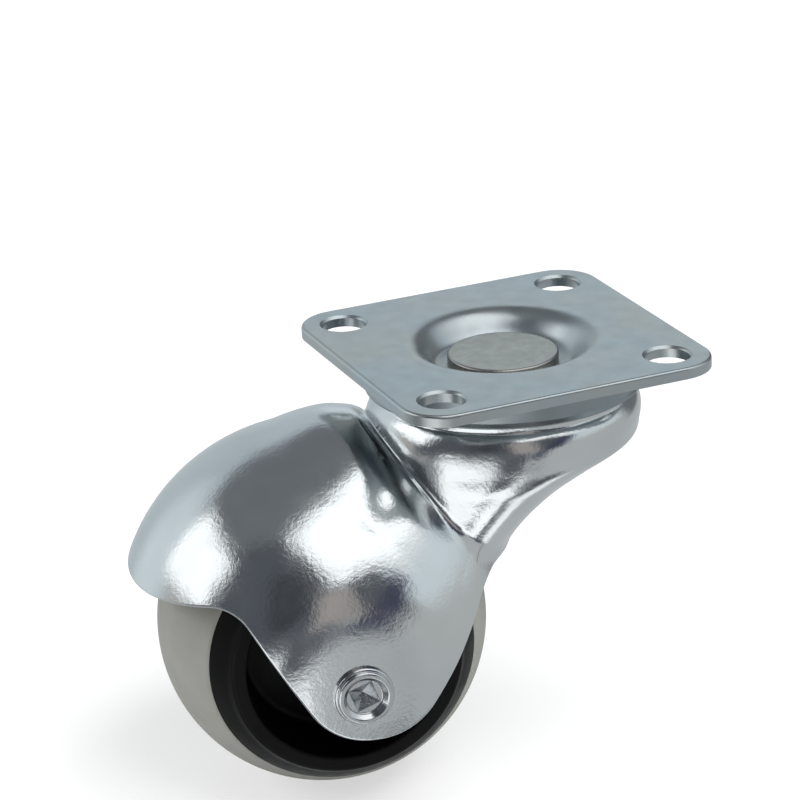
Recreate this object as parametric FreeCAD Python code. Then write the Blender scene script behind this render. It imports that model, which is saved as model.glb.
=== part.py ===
"""A small hooded ball castor with a square top plate, in millimetres.

The origin is the middle of the plate's top face, on the swivel axis, and Z points up.
The hood, the axle and the ball are built in the hood's own frame, where X is the trail
from the swivel axis to the ball and Y is the axle, and are then turned to rest.
"""
import FreeCAD
import Part
import math
import os

V = FreeCAD.Vector
ORIGIN = V(0, 0, 0)
UP = V(0, 0, 1)
AXLE = V(0, 1, 0)

# Top plate
plate_side = 38.0
plate_thickness = 1.35
plate_corner_radius = 5.0
plate_edge_round = 0.35
hole_pitch = 28.0
hole_diameter = 5.1
hole_edge_bevel = 0.3
dish_radius = 11.6
dish_floor_radius = 7.5
dish_curve_lead = 0.42
dish_wall_inset = 0.6

# Kingpin
kingpin_head_diameter = 12.9
kingpin_head_thickness = 1.2
kingpin_head_bevel = 0.3
kingpin_shank_diameter = 6.0
kingpin_tail_diameter = 9.4
kingpin_tail_height = 1.3
kingpin_tail_round = 1.0

# Swivel bearing
upper_ball_diameter = 2.8
upper_ball_count = 26
upper_ball_circle_radius = 13.7
upper_race_land = 1.7
upper_race_sheet = 0.6
skirt_side_gap = 0.6
skirt_wall = 0.7
skirt_bottom = 4.8
skirt_lip = 0.25
skirt_lip_height = 0.6
skirt_top_round = 0.3
skirt_bend_round = 0.4
skirt_lip_round = 0.15
skirt_inside_round = 0.2
lower_ball_diameter = 2.4
lower_ball_count = 18
lower_ball_circle_radius = 8.6
lower_race_thickness = 1.2
lower_race_radius = 10.9
lower_race_lip_height = 0.6
lower_race_lip_wall = 0.8
lower_race_inside_round = 0.3
lower_race_lip_round = 0.2
lower_race_foot_round = 0.8
groove_depth = 0.25

# Ball and axle
ball_diameter = 38.6
trail = 23.0
tread_width = 22.5
tread_edge_thickness = 1.5
core_step = 0.12
core_face_inset = 5.3
core_edge_round = 1.0
recess_land = 1.4
recess_floor_half_width = 6.4
recess_draft = 0.7
recess_floor_round = 0.8
hub_radius = 5.0
hub_draft = 0.5
hub_chamfer = 0.5
hub_root = 1.0
sleeve_diameter = 7.0
rivet_shank_diameter = 5.4
rivet_flange_diameter = 6.9
rivet_flange_height = 0.6
rivet_flange_round = 0.25
rivet_step_round = 0.05
rivet_rim_diameter = 6.3
rivet_rim_height = 1.1
rivet_rim_width = 0.55
rivet_mouth_depth = 0.45
rivet_cup_diameter = 4.2
rivet_cup_depth = 2.3
rivet_rim_round = 0.25
rivet_mouth_round = 0.15
rivet_cup_round = 0.5
rivet_pyramid_side = 2.5
rivet_pyramid_height = 1.15
rivet_pyramid_turn = 20.0
rivet_head_diameter = 7.6
rivet_head_height = 1.2
rivet_head_round = 0.85

# Drawn hood
sheet = 1.2
ear_inset = 1.8
ear_blend = 5.0
boss_radius = 16.0
boss_shoulder_round = 1.15
hollow_shoulder_round = 0.75
platform_land = 1.1
platform_edge_round = 0.25
ridge_set_back = 1.8
ridge_root_inset = 1.5
ridge_outer_width = 6.8
ridge_end_width = 1.5
ridge_height = 1.35
ridge_end_height = 0.02
ridge_sink = 0.05
ridge_middle_share = 1.1
ridge_inner_share = 0.35
ridge_ear_margin = 4.3
ridge_end_lead = 11.3317
ridge_steps = 8
swivel_rest_deg = 170.0

# Hood rim, seen along the axle and measured from the axle
ear_bottom = 5.95
ear_round = 7.9
ear_front_foot = 3.55
ear_front_top = (13.4, 10.45)
ear_rear_foot = -5.45
ear_rear_top = (-16.4, 9.3)
visor_round = 3.5
rear_round = 5.0
visor_front_drop = 2.4

# Clearances
fit_clearance = 0.05
running_clearance = 0.06
moulding_clearance = 0.02
swivel_clearance = 0.35
plate_gap = 0.3
skirt_gap = 0.35
side_clearance = 0.3
hood_gap = 3.3
crown_gap = 6.55

# Places that follow from the sizes above
ball_radius = ball_diameter / 2
hood_radius = ball_radius + hood_gap + sheet
ear_half_spacing = hood_radius - ear_inset
axle_height = -plate_thickness - crown_gap - hood_radius
upper_race_inner_radius = upper_ball_circle_radius - upper_race_land
platform_radius = upper_ball_circle_radius + platform_land
skirt_radius = platform_radius + skirt_side_gap + skirt_wall
upper_ball_z = -plate_thickness - upper_race_sheet + groove_depth - upper_ball_diameter / 2 - fit_clearance
platform_top = upper_ball_z - upper_ball_diameter / 2 - fit_clearance + groove_depth
platform_bottom = platform_top - sheet
dish_floor_bottom = platform_top + plate_gap
dish_floor_top = dish_floor_bottom + plate_thickness
shoulder_top = -skirt_bottom - skirt_gap
lower_ball_z = platform_bottom + groove_depth - lower_ball_diameter / 2 - fit_clearance
lower_race_top = lower_ball_z - lower_ball_diameter / 2 - fit_clearance + groove_depth
lower_race_bottom = lower_race_top - lower_race_thickness
ear_inside = ear_half_spacing - sheet
ball_centre = V(trail, 0, axle_height)
sleeve_radius = sleeve_diameter / 2
shank_radius = rivet_shank_diameter / 2
pin_radius = kingpin_shank_diameter / 2
core_face_half_width = ball_radius - core_face_inset
core_edge_radius = math.sqrt((ball_radius - core_step) ** 2 - core_face_half_width ** 2)
recess_radius = core_edge_radius - recess_land
tread_bed_radius = math.sqrt(ball_radius ** 2 - (tread_width / 2) ** 2) - tread_edge_thickness
ridge_radius = trail - ridge_set_back
ridge_inner_radius = boss_radius - ridge_root_inset
ridge_half_angle = math.atan2(ear_half_spacing - ridge_ear_margin, trail - ridge_end_lead)

# Horn between boss and ball: depth below the shoulder, centre, and how much longer and wider than the boss
horn_sections = (
    (1.2, 0.0, -0.8, -0.8),
    (2.4, 0.05, -0.6, -0.65),
    (4.0, 0.4, 0.2, 0.1),
    (5.6, 0.8, 0.0, 0.1),
    (7.4, 2.7, -2.0, -0.2),
    (9.2, 4.5, -3.75, -0.8),
    (11.8, 6.5, -5.5, -1.6),
    (14.4, 8.0, -6.7, -2.4),
    (17.0, 9.3, -7.2, -3.2),
    (20.0, 10.4, -7.8, -4.0),
)


def arc_edge(a, b, c):
    """A circular edge from a through b to c."""
    return Part.Arc(a, b, c).toShape()


def rounded_corner(before, corner, after, radius):
    """The start, middle and end of the arc that rounds a corner."""
    to_before = (before - corner).normalize()
    to_after = (after - corner).normalize()
    half_angle = to_before.getAngle(to_after) / 2
    reach = radius / math.tan(half_angle)
    bisector = (to_before + to_after).normalize()
    centre = corner + bisector * (radius / math.sin(half_angle))
    return corner + to_before * reach, centre - bisector * radius, corner + to_after * reach


def rounded_wire(corners):
    """A closed wire through corners given as (point, radius), with tangent arcs."""
    edges = []
    count = len(corners)
    arcs = []
    for i, (corner, radius) in enumerate(corners):
        before = corners[i - 1][0]
        after = corners[(i + 1) % count][0]
        arcs.append(rounded_corner(before, corner, after, radius) if radius else (corner, None, corner))
    for i, (start, middle, end) in enumerate(arcs):
        if middle:
            edges.append(arc_edge(start, middle, end))
        following = arcs[(i + 1) % count][0]
        if end.distanceToPoint(following) > 1e-6:
            edges.append(Part.makeLine(end, following))
    return Part.Wire(Part.__sortEdges__(edges))


def turned(corners, axis=UP):
    """A solid turned about an axis through the origin from (radius, height, round) corners."""
    def place(radius, height):
        return V(radius, 0, height) if axis is UP else V(radius, height, 0)
    wire = rounded_wire([(place(r, h), rounding) for r, h, rounding in corners])
    return Part.Face(wire).revolve(ORIGIN, axis, 360)


def race_groove(circle_radius, ball_diameter_here, height):
    """The round-bottomed track that a set of balls runs in."""
    return Part.makeTorus(circle_radius, ball_diameter_here / 2 + fit_clearance, V(0, 0, height))


def ball_set(count, circle_radius, diameter, height):
    """Evenly spaced bearing balls on one circle, as separate solids."""
    balls = []
    for i in range(count):
        angle = 2 * math.pi * i / count
        place = V(circle_radius * math.cos(angle), circle_radius * math.sin(angle), height)
        balls.append(Part.makeSphere(diameter / 2, place))
    return Part.makeCompound(balls)


def to_rest(shape):
    """Turns a shape from the hood's own frame to where the hood rests."""
    shape.rotate(ORIGIN, UP, swivel_rest_deg)
    return shape


def on_axle(shape):
    """Moves a shape from the origin to the ball's centre."""
    shape.translate(ball_centre)
    return shape


def dish_curve(edge_radius, floor_radius, top, bottom):
    """The S-shaped wall of the pressed dish, from the plate's face to the floor."""
    lead = (edge_radius - floor_radius) * dish_curve_lead
    curve = Part.BezierCurve()
    curve.setPoles([
        V(edge_radius, 0, top),
        V(edge_radius - lead, 0, top),
        V(floor_radius + lead, 0, bottom),
        V(floor_radius, 0, bottom),
    ])
    return curve.toShape()


def make_mounting_plate():
    """Square plate with round corners, four holes and a dish for the kingpin's head."""
    half = plate_side / 2
    slab = Part.makeBox(plate_side, plate_side, plate_thickness, V(-half, -half, -plate_thickness))
    upright = [e for e in slab.Edges if abs(e.Vertexes[0].Z - e.Vertexes[1].Z) > plate_thickness / 2]
    slab = slab.makeFillet(plate_corner_radius, upright)
    top_edges = [e for e in slab.Edges if e.BoundBox.ZMin > -plate_edge_round]
    slab = slab.makeFillet(plate_edge_round, top_edges)
    slab = slab.cut(Part.makeCylinder(dish_radius, plate_thickness, V(0, 0, -plate_thickness)))
    bore = pin_radius + fit_clearance
    upper = dish_curve(dish_radius, dish_floor_radius, 0, dish_floor_top)
    lower_edge = dish_radius - dish_wall_inset
    lower_floor = dish_floor_radius - dish_wall_inset
    lower = dish_curve(lower_edge, lower_floor, -plate_thickness, dish_floor_bottom)
    outline = [
        upper,
        Part.makeLine(V(dish_floor_radius, 0, dish_floor_top), V(bore, 0, dish_floor_top)),
        Part.makeLine(V(bore, 0, dish_floor_top), V(bore, 0, dish_floor_bottom)),
        Part.makeLine(V(bore, 0, dish_floor_bottom), V(lower_floor, 0, dish_floor_bottom)),
        lower,
        Part.makeLine(V(lower_edge, 0, -plate_thickness), V(dish_radius, 0, -plate_thickness)),
        Part.makeLine(V(dish_radius, 0, -plate_thickness), V(dish_radius, 0, 0)),
    ]
    dish = Part.Face(Part.Wire(Part.__sortEdges__(outline))).revolve(ORIGIN, UP, 360)
    plate = slab.fuse(dish)
    hole_radius = hole_diameter / 2
    for x in (-hole_pitch / 2, hole_pitch / 2):
        for y in (-hole_pitch / 2, hole_pitch / 2):
            plate = plate.cut(Part.makeCylinder(hole_radius, plate_thickness, V(x, y, -plate_thickness)))
            bevel = Part.makeCone(
                hole_radius, hole_radius + hole_edge_bevel, hole_edge_bevel, V(x, y, -hole_edge_bevel))
            plate = plate.cut(bevel)
    return plate


def make_kingpin():
    """Flat-headed rivet that holds the swivel together, upset below the lower race."""
    head = kingpin_head_diameter / 2
    tail = kingpin_tail_diameter / 2
    head_top = dish_floor_top + kingpin_head_thickness
    tail_bottom = lower_race_bottom - kingpin_tail_height
    return turned([
        (0, head_top, 0),
        (head, head_top, kingpin_head_bevel),
        (head, dish_floor_top, 0),
        (pin_radius, dish_floor_top, 0),
        (pin_radius, lower_race_bottom, 0),
        (tail, lower_race_bottom, 0),
        (tail, tail_bottom, kingpin_tail_round),
        (0, tail_bottom, 0),
    ])


def make_upper_race():
    """Pressed ring under the plate: the upper ball track and the dust skirt around it."""
    inner = upper_race_inner_radius
    body = turned([
        (inner, -plate_thickness, 0),
        (skirt_radius, -plate_thickness, skirt_top_round),
        (skirt_radius, -skirt_bottom + skirt_lip_height, skirt_bend_round),
        (skirt_radius + skirt_lip, -skirt_bottom, skirt_lip_round),
        (skirt_radius - skirt_wall, -skirt_bottom, 0),
        (skirt_radius - skirt_wall, -plate_thickness - upper_race_sheet, skirt_inside_round),
        (inner, -plate_thickness - upper_race_sheet, 0),
    ])
    return body.cut(race_groove(upper_ball_circle_radius, upper_ball_diameter, upper_ball_z))


def make_lower_race():
    """Cupped washer inside the hood that carries the lower balls on the kingpin."""
    lip_top = lower_race_top + lower_race_lip_height
    lip_inside = lower_race_radius - lower_race_lip_wall
    body = turned([
        (pin_radius + fit_clearance, lower_race_top, 0),
        (lip_inside, lower_race_top, lower_race_inside_round),
        (lip_inside, lip_top, 0),
        (lower_race_radius, lip_top, lower_race_lip_round),
        (lower_race_radius, lower_race_bottom, lower_race_foot_round),
        (pin_radius + fit_clearance, lower_race_bottom, 0),
    ])
    return body.cut(race_groove(lower_ball_circle_radius, lower_ball_diameter, lower_ball_z))


def ellipse_wire(centre, half_length, half_width, height):
    """A closed level oval of the horn."""
    if half_length >= half_width:
        curve = Part.Ellipse(V(centre, 0, height), half_length, half_width)
        return Part.Wire(curve.toShape())
    tip = V(centre, half_width, height)
    side = V(centre + half_length, 0, height)
    return Part.Wire(Part.Ellipse(tip, side, V(centre, 0, height)).toShape())


def horn(inset):
    """The horn from the swivel boss down to the ball's cover, drawn in by inset."""
    wires = []
    for depth, centre, longer, wider in horn_sections:
        height = shoulder_top - depth
        wires.append(ellipse_wire(centre, boss_radius + longer - inset, boss_radius + wider - inset, height))
    neck = Part.makeLoft(wires, True, False)
    radius = boss_radius + horn_sections[0][2] - inset
    top = platform_bottom if inset else shoulder_top
    bottom = shoulder_top - horn_sections[0][0]
    cap = turned([
        (0, top, 0),
        (radius, top, hollow_shoulder_round if inset else boss_shoulder_round),
        (radius, bottom, 0),
        (0, bottom, 0),
    ])
    return neck.fuse(cap)


def cover_ball(radius, half_width):
    """The round cover over the ball, with a flat cheek on each side."""
    body = Part.makeSphere(radius)
    slab = Part.makeBox(4 * radius, 2 * half_width, 4 * radius, V(-2 * radius, -half_width, -2 * radius))
    body = body.common(slab)
    cheeks = [e for e in body.Edges if abs(abs(e.BoundBox.YMin) - half_width) < 1e-3
              and e.BoundBox.YLength < 1e-3]
    return on_axle(body.makeFillet(ear_blend, cheeks))


def cover_height(radius, angle):
    """Height of the round cover's skin at a place given about the swivel axis."""
    x = radius * math.cos(angle) - trail
    y = radius * math.sin(angle)
    return axle_height + math.sqrt(hood_radius ** 2 - x * x - y * y)


def make_ridge():
    """The raised crest of the cover, a ring sector about the swivel axis that fades down both sides."""
    sections = []
    for i in range(ridge_steps + 1):
        share = 2 * i / ridge_steps - 1
        angle = ridge_half_angle * share
        fade = math.cos(math.pi / 2 * share)
        rise = ridge_height * fade + ridge_end_height
        outer = ridge_radius + ridge_end_width + (ridge_outer_width - ridge_end_width) * fade

        def point(radius, lift):
            return V(radius * math.cos(angle), radius * math.sin(angle), cover_height(radius, angle) + lift)
        corners = [
            point(outer, -ridge_sink),
            point(ridge_radius, rise),
            point((ridge_radius + ridge_inner_radius) / 2, ridge_middle_share * rise),
            point(ridge_inner_radius, ridge_inner_share * rise),
            point(ridge_inner_radius, -sheet / 2),
            point(outer, -sheet / 2),
        ]
        sections.append(Part.makePolygon(corners + corners[:1]))
    return Part.makeLoft(sections, True, False)


def rim_cutter():
    """The space below the hood's rim: visor, two ears and the rear edge, seen along the axle."""
    def at(x, z):
        return V(trail + x, -2 * hood_radius, axle_height + z)
    far = 2 * hood_radius
    front_x, front_z = ear_front_top
    rear_x, rear_z = ear_rear_top
    wire = rounded_wire([
        (at(far, front_z - visor_front_drop * (far - front_x) / (hood_radius - front_x)), 0),
        (at(front_x, front_z), visor_round),
        (at(ear_front_foot, -ear_bottom), ear_round),
        (at(ear_rear_foot, -ear_bottom), ear_round),
        (at(rear_x, rear_z), rear_round),
        (at(-far, rear_z), 0),
        (at(-far, -far), 0),
        (at(far, -far), 0),
    ])
    return Part.Face(wire).extrude(V(0, 4 * hood_radius, 0))


def make_hood():
    """One drawn sheet: swivel platform, horn, crest, round cover, visor and two ears."""
    platform = Part.makeCylinder(platform_radius, platform_top - platform_bottom, V(0, 0, platform_bottom))
    crown = [e for e in platform.Edges if e.BoundBox.ZMin > platform_top - 1e-3]
    platform = platform.makeFillet(platform_edge_round, crown)
    skin = cover_ball(hood_radius, ear_half_spacing).fuse([horn(0), make_ridge(), platform])
    hollow = cover_ball(hood_radius - sheet, ear_inside).fuse(horn(sheet))
    body = skin.cut(hollow).cut(rim_cutter())
    body = body.cut(race_groove(upper_ball_circle_radius, upper_ball_diameter, upper_ball_z))
    body = body.cut(race_groove(lower_ball_circle_radius, lower_ball_diameter, lower_ball_z))
    pin_hole = pin_radius + swivel_clearance
    body = body.cut(Part.makeCylinder(pin_hole, 3 * sheet, V(0, 0, platform_bottom - sheet)))
    rivet_start = V(0, -2 * hood_radius, 0)
    rivet_hole = Part.makeCylinder(shank_radius + fit_clearance, 4 * hood_radius, rivet_start, AXLE)
    body = body.cut(on_axle(rivet_hole))
    return to_rest(body)


def make_axle_sleeve():
    """Steel tube between the ears that the ball turns on."""
    half = ear_inside - fit_clearance
    tube = turned([
        (shank_radius + fit_clearance, -half, 0),
        (sleeve_radius, -half, 0),
        (sleeve_radius, half, 0),
        (shank_radius + fit_clearance, half, 0),
    ], AXLE)
    return to_rest(on_axle(tube))


def make_axle_rivet():
    """Rivet through both ears: plain head on the far side, rolled rim, cup and centre point on the near."""
    head = rivet_head_diameter / 2
    flange = rivet_flange_diameter / 2
    rim = rivet_rim_diameter / 2
    cup = rivet_cup_diameter / 2
    rim_top = ear_half_spacing + rivet_rim_height
    mouth = rim_top - rivet_mouth_depth
    cup_floor = rim_top - rivet_cup_depth
    body = turned([
        (0, -ear_half_spacing - rivet_head_height, 0),
        (head, -ear_half_spacing - rivet_head_height, rivet_head_round),
        (head, -ear_half_spacing, 0),
        (shank_radius, -ear_half_spacing, 0),
        (shank_radius, ear_half_spacing, 0),
        (flange, ear_half_spacing, 0),
        (flange, ear_half_spacing + rivet_flange_height, rivet_flange_round),
        (rim, ear_half_spacing + rivet_flange_height, rivet_step_round),
        (rim, rim_top, rivet_rim_round),
        (rim - rivet_rim_width, rim_top, rivet_rim_round),
        (cup, mouth, rivet_mouth_round),
        (cup, cup_floor, rivet_cup_round),
        (0, cup_floor, 0),
    ], AXLE)
    half = rivet_pyramid_side / 2
    square = Part.makePolygon([V(-half, 0, -half), V(half, 0, -half), V(half, 0, half), V(-half, 0, half),
                               V(-half, 0, -half)])
    tip = Part.Vertex(V(0, rivet_pyramid_height + fit_clearance, 0))
    point = Part.makeLoft([square, tip], True, True)
    point.rotate(ORIGIN, AXLE, rivet_pyramid_turn)
    point.translate(V(0, cup_floor - fit_clearance, 0))
    return to_rest(on_axle(body.fuse(point)))


def make_wheel_core():
    """Moulded core: tread bed, two flanges, deep side recesses and a hub on the sleeve."""
    skin = ball_radius - core_step
    tread_half = tread_width / 2
    face = core_face_half_width
    blank = Part.makeSphere(skin).common(
        Part.makeCylinder(skin, 2 * face, V(0, -face, 0), AXLE))
    rim_edges = [e for e in blank.Edges if abs(e.BoundBox.XLength - 2 * core_edge_radius) < 0.01
                 and e.BoundBox.YLength < 0.01]
    blank = blank.makeFillet(core_edge_round, rim_edges)
    bed = tread_bed_radius
    band = turned([
        (bed, -tread_half, 0), (2 * skin, -tread_half, 0), (2 * skin, tread_half, 0), (bed, tread_half, 0)],
        AXLE)
    core = blank.cut(band)
    hub_end = ear_inside - side_clearance
    floor = recess_floor_half_width
    for side in (-1, 1):
        recess = turned([
            (0, side * floor, 0),
            (recess_radius - recess_draft, side * floor, recess_floor_round),
            (recess_radius, side * face, 0),
            (recess_radius, side * 2 * face, 0),
            (0, side * 2 * face, 0)], AXLE)
        core = core.cut(recess)
        boss = turned([
            (0, side * (floor - hub_root), 0),
            (hub_radius + hub_draft, side * (floor - hub_root), 0),
            (hub_radius, side * hub_end, hub_chamfer),
            (0, side * hub_end, 0)], AXLE)
        core = core.fuse(boss)
    bore = Part.makeCylinder(sleeve_radius + running_clearance, 4 * face, V(0, -2 * face, 0), AXLE)
    return to_rest(on_axle(core.cut(bore)))


def make_wheel_tread():
    """Soft tread band moulded on the core, part of the ball's surface."""
    half = tread_width / 2 - moulding_clearance
    bed = tread_bed_radius + moulding_clearance
    band = turned([
        (bed, -half, 0), (2 * ball_radius, -half, 0), (2 * ball_radius, half, 0), (bed, half, 0)], AXLE)
    return to_rest(on_axle(Part.makeSphere(ball_radius).common(band)))


def make_upper_balls():
    """Balls between the plate's race and the hood's platform."""
    return ball_set(upper_ball_count, upper_ball_circle_radius, upper_ball_diameter, upper_ball_z)


def make_lower_balls():
    """Balls between the hood's platform and the lower race."""
    return ball_set(lower_ball_count, lower_ball_circle_radius, lower_ball_diameter, lower_ball_z)


parts = {
    "mounting_plate": make_mounting_plate,
    "kingpin": make_kingpin,
    "upper_race": make_upper_race,
    "upper_balls": make_upper_balls,
    "hood": make_hood,
    "lower_balls": make_lower_balls,
    "lower_race": make_lower_race,
    "axle_rivet": make_axle_rivet,
    "axle_sleeve": make_axle_sleeve,
    "wheel_core": make_wheel_core,
    "wheel_tread": make_wheel_tread,
}

os.makedirs("parts", exist_ok=True)
for name, make in parts.items():
    shape = make()
    shape.exportStep(f"parts/{name}.step")
    print(name, "solids", len(shape.Solids), "volume", round(shape.Volume, 2), "valid", shape.isValid())
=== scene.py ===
"""Looks of the hooded ball castor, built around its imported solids.

Lengths are in metres and the frame is the solids' own: Z up, origin in the plate's top face on
the swivel axis. The hood and the ball are worked out in the hood's frame, where X is the trail
and Y the axle, and are then turned to where the hood rests.
"""
import math

import bmesh
import bpy
import numpy as np
from bpy.props import FloatProperty, FloatVectorProperty, PointerProperty
from mathutils import Matrix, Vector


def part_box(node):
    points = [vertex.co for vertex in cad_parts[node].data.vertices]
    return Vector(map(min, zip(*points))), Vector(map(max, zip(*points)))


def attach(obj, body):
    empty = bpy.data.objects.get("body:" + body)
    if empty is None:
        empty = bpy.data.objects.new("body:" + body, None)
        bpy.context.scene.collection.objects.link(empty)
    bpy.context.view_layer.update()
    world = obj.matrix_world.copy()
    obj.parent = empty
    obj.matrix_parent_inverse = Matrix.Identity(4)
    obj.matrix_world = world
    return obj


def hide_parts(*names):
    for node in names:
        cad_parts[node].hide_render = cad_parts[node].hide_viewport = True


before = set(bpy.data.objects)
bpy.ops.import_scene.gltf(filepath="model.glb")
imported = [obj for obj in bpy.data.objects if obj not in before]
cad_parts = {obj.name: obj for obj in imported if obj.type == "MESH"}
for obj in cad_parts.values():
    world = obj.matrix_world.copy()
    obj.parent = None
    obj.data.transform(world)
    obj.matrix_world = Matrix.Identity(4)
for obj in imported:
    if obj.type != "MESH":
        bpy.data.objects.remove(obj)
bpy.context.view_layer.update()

bl_info = {
    "name": "Ball castor looks",
    "version": (1, 0, 0),
    "blender": (4, 5, 0),
    "location": "3D View > Sidebar > Castor",
    "description": "Sheet steel, moulded ball and studio for a small hooded ball castor",
    "category": "Object",
}

MM = 0.001
REST_TURN = math.radians(170.0)
MERGE_DISTANCE = 2e-6
TINY_EDGE = 1e-7
QUARTER_STEPS = 49
FIT_GAP = 0.05
MOULDING_GAP = 0.02
RIVET_COLUMNS = 160


def colour(hex_code):
    """Linear red, green and blue of an sRGB hex colour."""
    channels = [int(hex_code[i:i + 2], 16) / 255 for i in (1, 3, 5)]
    return [c / 12.92 if c <= 0.04045 else ((c + 0.055) / 1.055) ** 2.4 for c in channels]


def length(name, description, millimetres):
    """A length property whose default is given in millimetres."""
    return FloatProperty(
        name=name, description=description, default=millimetres * MM, unit="LENGTH")


def tint(name, description, hex_code):
    """A colour property whose default is given as a hex colour."""
    return FloatVectorProperty(
        name=name, description=description, default=colour(hex_code), subtype="COLOR", size=3,
        min=0, max=1)


class PlateSizes(bpy.types.PropertyGroup):
    """Sizes of the square top plate, the kingpin and the dust skirt."""
    side: length("Side", "Side of the square plate", 38.0)
    thickness: length("Thickness", "Sheet thickness of the plate", 1.35)
    corner: length("Corner radius", "Radius of the plate's corners", 5.0)
    edge_round: length("Edge round", "Roll of the sheared edge", 0.35)
    hole_pitch: length("Hole pitch", "Distance between screw holes", 28.0)
    hole_radius: length("Hole radius", "Radius of each screw hole", 2.55)
    hole_bevel: length("Hole bevel", "Bevel round each screw hole", 0.3)
    dish_radius: length("Dish radius", "Radius at which the pressed dish starts", 11.6)
    dish_floor: length("Dish floor radius", "Radius of the dish's flat floor", 7.5)
    dish_depth: length("Dish depth", "Depth of the pressed dish", 2.7)
    dish_inset: length("Dish wall inset", "How far the dish's lower wall is drawn in", 0.6)
    pin_head: length("Pin head radius", "Radius of the kingpin's head", 6.45)
    pin_head_height: length("Pin head height", "Thickness of the kingpin's head", 1.2)
    pin_shank: length("Pin shank radius", "Radius of the kingpin's shank", 3.0)
    skirt_radius: length("Skirt radius", "Outside radius of the dust skirt", 16.1)
    skirt_bottom: length("Skirt bottom", "Depth of the skirt's lower edge", 4.8)


class HoodSizes(bpy.types.PropertyGroup):
    """Sizes of the drawn hood."""
    sheet: length("Sheet", "Sheet thickness of the hood", 1.2)
    cover: length("Cover radius", "Radius of the round cover", 23.8)
    ear: length("Ear spacing", "Half the distance over the two ears", 22.0)
    cheek_round: length("Cheek round", "Width of the blend from cover to cheek", 1.7)
    trail: length("Trail", "Distance from swivel axis to axle", 23.0)
    axle_drop: length("Axle drop", "Depth of the axle below the plate", 31.7)
    boss: length("Boss radius", "Radius of the swivel boss", 16.0)
    shoulder: length("Shoulder depth", "Depth of the boss's shoulder", 5.15)
    platform: length("Platform radius", "Radius of the raised ball track", 14.8)
    platform_depth: length("Platform depth", "Depth of the ball track's top", 4.35)
    pin_hole: length("Pin hole", "Radius of the hole round the kingpin", 3.35)
    crest: length("Crest radius", "Distance of the crest from the swivel axis", 21.2)
    crest_height: length("Crest height", "Height of the crest above the cover", 1.35)
    lip: length("Lip width", "Distance of the crest's lip from the boss", 0.7)
    crease_round: length("Crease round", "Round of the crease between boss and cover", 1.1)
    well: length("Rivet well", "Radius of the sunk seat under each rivet end", 2.9)
    well_depth: length("Rivet well depth", "Depth of the sunk seat under each rivet end", 1.05)
    edge_roll: length("Edge roll", "Bulge of the sheared and tumbled rim", 0.3)


class BallSizes(bpy.types.PropertyGroup):
    """Sizes of the ball and of the rivet that it turns on."""
    radius: length("Ball radius", "Radius of the ball", 19.3)
    tread: length("Tread half width", "Half the width of the tread band", 11.25)
    tread_edge: length("Tread edge", "Depth of the tread at its edge", 1.5)
    step: length("Core step", "Step from tread down to core", 0.12)
    face: length("Core half width", "Half the width over the core's flanges", 14.0)
    recess: length("Recess radius", "Radius of the side recess's mouth", 11.7)
    recess_floor: length("Recess floor", "Half width left between the recess floors", 6.4)
    hub: length("Hub radius", "Radius of the hub in the recess", 5.0)
    hub_end: length("Hub end", "Half length of the hub", 20.5)
    sleeve: length("Sleeve radius", "Radius of the bore round the axle sleeve", 3.56)
    rivet_flange: length("Rivet flange radius", "Radius of the rivet's flange", 3.45)
    rivet_rim: length("Rivet rim radius", "Outside radius of the rivet's rolled rim", 3.15)
    rivet_crest: length("Rivet crest radius", "Radius of the inner edge of the rolled rim", 2.6)
    rivet_cup: length("Rivet cup radius", "Radius of the cup in the rivet's end", 2.1)


class Finishes(bpy.types.PropertyGroup):
    """Colours of the castor and its stage."""
    plate: tint("Plate zinc", "Satin zinc plate on the top plate", "#B4BABC")
    hood: tint("Hood zinc", "Bright zinc plate on the hood", "#D3D8DA")
    # The skirt's zinc is set a darker grey than the plate's and the hood's.
    skirt: tint("Skirt zinc", "Zinc on the dust skirt, set darker than the plate's", "#959DA0")
    rivet: tint("Rivet zinc", "Bright zinc on the axle rivet", "#C6CACD")
    pin: tint("Pin zinc", "Duller zinc on the kingpin", "#ABABA6")
    core: tint("Core", "Black moulded plastic of the core", "#0B0B0C")
    tread: tint("Tread", "Warm grey soft tread", "#8D8D87")
    floor: tint("Floor", "Pale studio floor", "#FFFFFF")


class StageSizes(bpy.types.PropertyGroup):
    """Camera and floor."""
    focal: FloatProperty(
        name="Focal length", description="Lens in millimetres on a 36 mm sensor", default=146.1)
    floor_drop: length("Floor drop", "Depth of the floor below the plate", 51.0)


def rounded_path(corners, steps=7, closed=True):
    """A path through (x, y, round) corners. Each corner is an arc tangent to both sides:
    its centre lies on the bisector at round / sin(half the angle), and a close extra point on
    either side keeps the flats flat under smooth shading."""
    path = []
    count = len(corners)
    for i, (x, y, rounding) in enumerate(corners):
        here = np.array([x, y], float)
        if not rounding or (not closed and i in (0, count - 1)):
            path.append(here[None])
            continue
        before = np.array(corners[i - 1][:2], float)
        after = np.array(corners[(i + 1) % count][:2], float)
        a = (before - here) / np.linalg.norm(before - here)
        b = (after - here) / np.linalg.norm(after - here)
        half = math.acos(np.clip(a @ b, -1, 1)) / 2
        reach = rounding / math.tan(half)
        bisector = (a + b) / np.linalg.norm(a + b)
        centre = here + bisector * rounding / math.sin(half)
        share = np.linspace(0, 1, steps)[:, None]
        first = here + a * reach - centre
        last = here + b * reach - centre
        turn = 2 * (math.pi / 2 - half)
        weights = np.sin((1 - share) * turn) * first + np.sin(share * turn) * last
        arc = centre + weights / math.sin(turn)
        margin = 0.12 * rounding
        path.append(np.vstack([here + a * (reach + margin), arc, here + b * (reach + margin)]))
    return np.vstack(path)


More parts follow.
